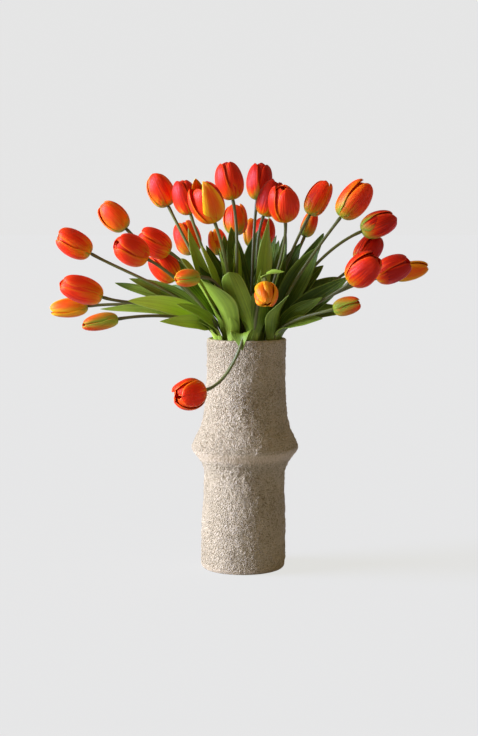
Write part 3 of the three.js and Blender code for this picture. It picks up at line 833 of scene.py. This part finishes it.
LEAF_SPREAD = 1.14  # a blade is this much wider than its solid in the frame
LEAF_LAUNCH = 0.34  # how far a leaf first follows its stem, as a share of its span
LEAF_ROOT_GAP = 0.4
ROLL_SPAN = (0.05, 0.45)  # a leaf rolls between these shares of its length
LEAF_GRID = (8, 26)  # faces across a leaf and along it, before they are rounded


def leaf_line(leaf):
    """The leaf's middle line as bezier handles, and the way its root faces."""
    stem = stem_bends(TULIPS[leaf["on"] - 1])[1]
    root = bezier_point(stem, leaf.get("at", 0.0))
    along = bezier_direction(stem, leaf.get("at", 0.0))
    tip = from_rim(leaf["tip"])
    outward = level_way(MOUTH, tip)
    root += outward * (STEM_RADIUS + LEAF_ROOT_GAP)
    launch = along * (tip - root).length * LEAF_LAUNCH
    return (root, root + launch, from_rim(leaf["elbow"]), tip), UP.cross(outward)


def make_leaf(bm, leaf, chance):
    """One leaf: a folded blade, rolled and twisted along its middle line, with wavy edges."""
    handles, side = leaf_line(leaf)
    width = leaf["width"]
    roll = math.radians(leaf.get("roll", 0) + chance.uniform(-6, 6))
    twist = math.radians(leaf.get("twist", chance.uniform(-12, 12)))
    wave = leaf.get("wave", 0.035)
    blunt = leaf.get("blunt", 0.25)
    spread = leaf.get("spread", LEAF_SPREAD)
    phases = [chance.uniform(0, 6) for _ in range(2)]
    rate = chance.uniform(5.5, 8.5)
    widest = blend(0.45, 0.66, blunt) + chance.uniform(-0.05, 0.05)
    sag = chance.uniform(-0.05, 0.05) * width

    def place(u, v):
        tangent = bezier_direction(handles, v)
        face = tangent.cross(side).normalized()
        turned = roll * smoothstep(*ROLL_SPAN, v) + twist * v
        level = Matrix.Rotation(turned, 3, tangent) @ face.cross(tangent)
        normal = tangent.cross(level)
        swell = smoothstep(0, widest, v)
        beyond = max(v - widest, 0) / (1 - widest)
        taper = (1 - beyond ** blend(1.7, 3.2, blunt)) ** blend(0.95, 0.6, blunt)
        half = max(width * spread / 2 * (0.42 + 0.58 * swell) * taper, 0.0)
        fold = (0.55 - 0.35 * v) * abs(u) ** 1.4 * half
        phase = phases[0] if u > 0 else phases[1]
        ripple = wave * width * math.sin(rate * v * 2 + phase) * u * u * swell
        groove = -0.5 * groove_at(u) * (1 - v)
        drift = sag * math.sin(math.pi * v * 1.5)
        p = bezier_point(handles, v) + level * (u * half + drift * swell)
        return p + normal * (fold + ripple + groove)

    # the leaf's light value, partly painted light for the leaves that the key light falls on
    sheet(bm, *LEAF_GRID, place, (leaf["light"], 0, 0), chance.uniform(0, 50))


def make_leaves(settings, looks):
    material = leaf_material(looks)
    chance = random.Random(settings.seed + 1)
    for number, leaf in enumerate(LEAVES, 1):
        bm = new_mesh()
        make_leaf(bm, leaf, chance)
        finish_piece(bm, f"leaf_{number:02d}", material, solids(leaf["on"], "stem"),
                     thickness=settings.leaf_thickness / MM)


# ---- Blooms ----


PETALS = 6
PETAL_GRID = (9, 13)  # faces across a petal and along it, before they are rounded
PETAL_ROOT = 2.6  # how far from the bloom's middle its petals start
INNER_INSET = 1.3  # how far an inner petal lies inside the outer ones
FULL_TIP = (3.1, 0.6)  # how blunt a petal is, and how its edges come in to the tip
FLAMED_TIP = (1.5, 0.95)
FLAMED_RED = 0.5
OTHERS_SHORTER = 0.86  # the other petals of a flamed bloom, as a share of its long ones
WIDEST_ANGLE = 1.22  # half the angle that a petal takes up at most, in radians
OPEN_BLOOM = 0.3  # how open a bloom is when its pistil and stamens show


def bloom_frame(tulip):
    """Turns a bloom's own coordinates, its stem end at the origin and its tip along +Z, into place."""
    aim = direction(tulip["aim"])
    base = from_rim(tulip["bloom"]) - aim * tulip["size"][0] / 2
    turn = aim.to_track_quat("Z", "Y").to_matrix().to_4x4()
    return Matrix.Translation(base) @ turn


def first_petal(tulip, place_bloom, chance):
    """The angle of the bloom's first petal about its own middle."""
    any_turn = chance.uniform(0, 2 * math.pi)
    if "faces" not in tulip:
        return any_turn
    own = place_bloom.to_3x3().transposed() @ azimuth_point(tulip["faces"], 1, 0)
    return math.atan2(own.y, own.x)


def make_petal(bm, place_bloom, tulip, middle, inner, third, chance):
    """One petal: a cupped sheet that follows the bloom's side from the stem to its tip."""
    tall, wide = tulip["size"]
    opening, redness_and_shade, yellow_edge, green = tulip["look"]
    radius = wide / 2
    tall *= chance.uniform(0.93, 1.0) - (0.03 if inner else 0)
    bluntness, point = FULL_TIP
    if "flamed" in tulip and third:
        redness_and_shade, yellow_edge = FLAMED_RED, 1.0
        bluntness, point = FLAMED_TIP
    elif "flamed" in tulip:
        tall *= OTHERS_SHORTER
    spread = opening * chance.uniform(0.75, 1.25)
    inset = INNER_INSET if inner else 0.0
    tip_radius = radius * ((0.1 if inner else 0.3) + 0.75 * spread) + chance.uniform(0, 1.5)
    side_line = (
        Vector((PETAL_ROOT, 0, 0)),
        Vector((radius * 1.26 - inset, 0, -0.01 * tall)),  # the belly
        Vector((radius * (1.18 + 0.2 * spread) - inset * 1.3, 0, 0.86 * tall)),  # the shoulder
        Vector((tip_radius - inset * 0.3, 0, tall)),
    )
    half_width = radius * (1.02 if inner else 1.14)
    tuck = chance.uniform(0.8, 1.4)
    phase = chance.uniform(0, 6)
    lift = chance.uniform(-0.4, 0.6)
    crumple = tulip.get("crumple", 0.45)

    def place(u, v):
        on_side = bezier_point(side_line, v)
        ovate = (0.5 + 0.5 * smoothstep(0, 0.35, v)) * max(1 - v**bluntness, 0.0) ** point
        angle = min(half_width * ovate / max(on_side.x, 1.0), WIDEST_ANGLE)
        turn = middle + u * angle
        r = on_side.x + tuck * u * smoothstep(0.05, 0.3, v)  # one edge lies over the next petal
        r += lift * smoothstep(0.6, 1, v)
        r -= 1.1 * groove_at(u) * smoothstep(0.1, 0.7, v)
        r -= (0.7 + 0.8 * smoothstep(0.5, 1, v)) * u**4  # both edges curl in
        r += crumple * math.sin(5 * v + 3 * u + phase) * smoothstep(0.1, 0.6, v)
        r = max(r, 0.8)
        z = on_side.z + 0.4 * math.sin(7 * u + phase) * smoothstep(0.7, 1, v)
        return place_bloom @ Vector((r * math.cos(turn), r * math.sin(turn), z))

    redness_and_shade *= chance.uniform(0.82, 1.1)
    sheet(bm, *PETAL_GRID, place, (redness_and_shade, yellow_edge, green), chance.uniform(0, 50))


def make_blooms(settings, looks):
    materials = {slot: petal_material(slot, looks) for slot in ("petal_red", "bud_yellow")}
    chance = random.Random(settings.seed + 2)
    for number, tulip in enumerate(TULIPS, 1):
        bm = new_mesh()
        place_bloom = bloom_frame(tulip)
        start = first_petal(tulip, place_bloom, chance)
        for k in range(PETALS):
            inner, third = k % 2 == 1, k % 3 == 0
            middle = start + k * 2 * math.pi / PETALS
            make_petal(bm, place_bloom, tulip, middle, inner, third, chance)
        slot = "bud_yellow" if number in YELLOW_BUDS else "petal_red"
        finish_piece(bm, f"bloom_{number:02d}", materials[slot], solids(number, "bloom"),
                     thickness=settings.petal_thickness / MM)


PISTIL_SIDES = 9
STAMEN_SIDES = 7
STAMEN_STEPS = (0, 0.2, 0.4, 0.6, 0.7, 0.85, 1)
ANTHER_START = 0.6  # where a stamen's thread ends and its anther starts


def pistil_radius_at(share):
    thread, knob = 3.2, 4.4
    return thread if share < 0.9 else knob


def stamen_radius_at(share):
    thread, anther, taper = 0.9, 2.0, 1.2
    return thread if share < ANTHER_START else anther - taper * (share - ANTHER_START)


def make_hearts(settings, looks):
    """Pistil and stamens of the blooms that are open enough to show them."""
    green = plain_material("pistil", looks.stem_green, looks.leaf_pale, 0.5)
    dark = plain_material("anther", looks.anther_dark, looks.anther_dust, 0.8)
    chance = random.Random(settings.seed + 3)
    for number, tulip in enumerate(TULIPS, 1):
        if tulip["look"][0] < OPEN_BLOOM:
            continue
        place_bloom = bloom_frame(tulip)
        tall = tulip["size"][0]
        pistil = new_mesh()
        line = [place_bloom @ (UP * tall * share / 10) for share in range(1, 6)]
        tube(pistil, line, pistil_radius_at, PISTIL_SIDES)
        finish_piece(pistil, f"pistil_{number:02d}", green)
        stamens = new_mesh()
        for k in range(PETALS):
            turn = k * 2 * math.pi / PETALS + chance.uniform(-0.2, 0.2)
            out = Vector((math.cos(turn), math.sin(turn), 0))
            line = [place_bloom @ (out * (4 + 5 * t) + UP * tall * (0.06 + 0.5 * t))
                    for t in STAMEN_STEPS]
            tube(stamens, line, stamen_radius_at, STAMEN_SIDES)
        finish_piece(stamens, f"stamens_{number:02d}", dark)


# ---- Stage ----


BACKDROP = 0.787
KEY_COLOUR = (1.0, 1.13, 1.8)
KEY_SPREAD = 40  # degrees; a wide lamp casts soft shadows
FILL_COLOUR = (1.0, 0.84, 0.6)
KEY_WAY = Vector((2.2, 0.24, -0.3)).normalized()
KEY_SLOPE = -KEY_WAY.z
FLOOR_SIZE = 60  # metres from its middle to an edge
FLOOR_SEEN = 0.15  # share of the floor's own tone that the camera sees; the rest of it glows
BUNCH_MIDDLE = Vector((-0.006, 0, 0.313))


def aim_at(thing, place, target):
    thing.location = place
    thing.rotation_euler = (target - place).to_track_quat("-Z", "Y").to_euler()


def floor_material(settings):
    """A faintly clouded floor that glows just enough to be as pale as the wall behind it."""
    material, tree, shader = new_material("floor", Roughness=1.0, Specular_IOR_Level=0.0)
    cloud = noise_of(tree, object_place(tree), 3.0)
    seen = node(tree, "LightPath").outputs["Is Camera Ray"]
    tone = mixed(tree, cloud, settings.floor, [0.98 * c for c in settings.floor])
    dull = [FLOOR_SEEN * c for c in settings.floor]
    tree.links.new(mixed(tree, seen, tone, dull), shader.inputs["Base Color"])
    tree.links.new(seen, shader.inputs["Emission Strength"])
    key_light = settings.key * KEY_SLOPE / math.pi
    glow = [
        BACKDROP - own * (key_light * key + settings.fill * fill)
        for own, key, fill in zip(dull, KEY_COLOUR, FILL_COLOUR)
    ]
    shader.inputs["Emission Color"].default_value = rgb(glow)
    return material


def studio_world(settings):
    """The camera sees a pale wall all round, and the objects are lit by a warm fill."""
    world = bpy.data.worlds.new("studio")
    world.use_nodes = True
    tree = world.node_tree
    seen = tree.nodes["Background"]
    seen.inputs["Color"].default_value = rgb([BACKDROP] * 3)
    dim = node(tree, "Background", {"Color": rgb(FILL_COLOUR), "Strength": settings.fill})
    path = node(tree, "LightPath")
    inputs = {0: path.outputs["Is Camera Ray"], 1: dim.outputs[0], 2: seen.outputs[0]}
    both = node(tree, "MixShader", inputs)
    tree.links.new(both.outputs[0], tree.nodes["World Output"].inputs["Surface"])
    return world


def make_stage(settings):
    scene = bpy.context.scene
    scene.view_settings.view_transform = "Standard"
    scene.world = studio_world(settings)

    bm = bmesh.new()
    bmesh.ops.create_grid(bm, x_segments=1, y_segments=1, size=FLOOR_SIZE)
    floor = new_object("floor", new_mesh_data(bm, "floor", floor_material(settings)))

    lamp = bpy.data.lights.new("key", "SUN")
    lamp.energy = settings.key
    lamp.angle = math.radians(KEY_SPREAD)
    lamp.color = KEY_COLOUR
    aim_at(new_object("key", lamp), BUNCH_MIDDLE - KEY_WAY, BUNCH_MIDDLE)

    lens = bpy.data.cameras.new("camera")
    lens.lens = settings.lens
    scene.camera = new_object("camera", lens)
    back = Vector((0, -math.cos(settings.elevation), math.sin(settings.elevation)))
    aim_at(scene.camera, BUNCH_MIDDLE + back * settings.distance, BUNCH_MIDDLE)


# ---- Add-on ----


class TULIPS_OT_vase(bpy.types.Operator):
    """Throw the stoneware vase"""

    bl_idname = "tulips.vase"
    bl_label = "Vase"

    def execute(self, context):
        make_vase(context.scene.tulip_vase, context.scene.tulip_colours)
        return {"FINISHED"}


class TULIPS_OT_stems(bpy.types.Operator):
    """Grow the stems"""

    bl_idname = "tulips.stems"
    bl_label = "Stems"

    def execute(self, context):
        make_stems(context.scene.tulip_flowers, context.scene.tulip_colours)
        return {"FINISHED"}


class TULIPS_OT_leaves(bpy.types.Operator):
    """Grow the leaves"""

    bl_idname = "tulips.leaves"
    bl_label = "Leaves"

    def execute(self, context):
        make_leaves(context.scene.tulip_flowers, context.scene.tulip_colours)
        return {"FINISHED"}


class TULIPS_OT_blooms(bpy.types.Operator):
    """Grow the petals of every bloom and bud"""

    bl_idname = "tulips.blooms"
    bl_label = "Blooms"

    def execute(self, context):
        make_blooms(context.scene.tulip_flowers, context.scene.tulip_colours)
        return {"FINISHED"}


class TULIPS_OT_hearts(bpy.types.Operator):
    """Grow the pistils and stamens of the open blooms"""

    bl_idname = "tulips.hearts"
    bl_label = "Pistils and stamens"

    def execute(self, context):
        make_hearts(context.scene.tulip_flowers, context.scene.tulip_colours)
        return {"FINISHED"}


class TULIPS_OT_stage(bpy.types.Operator):
    """Set up the floor, the lights and the camera"""

    bl_idname = "tulips.stage"
    bl_label = "Floor, lights and camera"

    def execute(self, context):
        make_stage(context.scene.tulip_stage)
        return {"FINISHED"}


class TULIPS_PT_panel(bpy.types.Panel):
    """Lists the steps that build the vase of tulips"""

    bl_idname = "TULIPS_PT_panel"
    bl_label = "Tulips in a vase"
    bl_space_type = "VIEW_3D"
    bl_region_type = "UI"
    bl_category = "Tulips"

    def draw(self, context):
        for step in STEPS:
            self.layout.operator(step.bl_idname)
        for name in SETTINGS:
            settings = getattr(context.scene, name)
            box = self.layout.box()
            for key in settings.__annotations__:
                box.prop(settings, key)


SETTINGS = {
    "tulip_vase": VaseSettings,
    "tulip_flowers": FlowerSettings,
    "tulip_colours": ColourSettings,
    "tulip_stage": StageSettings,
}
STEPS = [TULIPS_OT_vase, TULIPS_OT_stems, TULIPS_OT_leaves, TULIPS_OT_blooms, TULIPS_OT_hearts,
         TULIPS_OT_stage]
CLASSES = [*SETTINGS.values(), *STEPS, TULIPS_PT_panel]


def register():
    for cls in CLASSES:
        bpy.utils.register_class(cls)
    for name, cls in SETTINGS.items():
        setattr(bpy.types.Scene, name, PointerProperty(type=cls))


def unregister():
    for name in SETTINGS:
        delattr(bpy.types.Scene, name)
    for cls in reversed(CLASSES):
        bpy.utils.unregister_class(cls)


def main():
    register()
    streaks_group()
    mottle_group()
    bpy.ops.tulips.vase()
    bpy.ops.tulips.stems()
    bpy.ops.tulips.leaves()
    bpy.ops.tulips.blooms()
    bpy.ops.tulips.hearts()
    bpy.ops.tulips.stage()


if __name__ == "__main__":
    main()
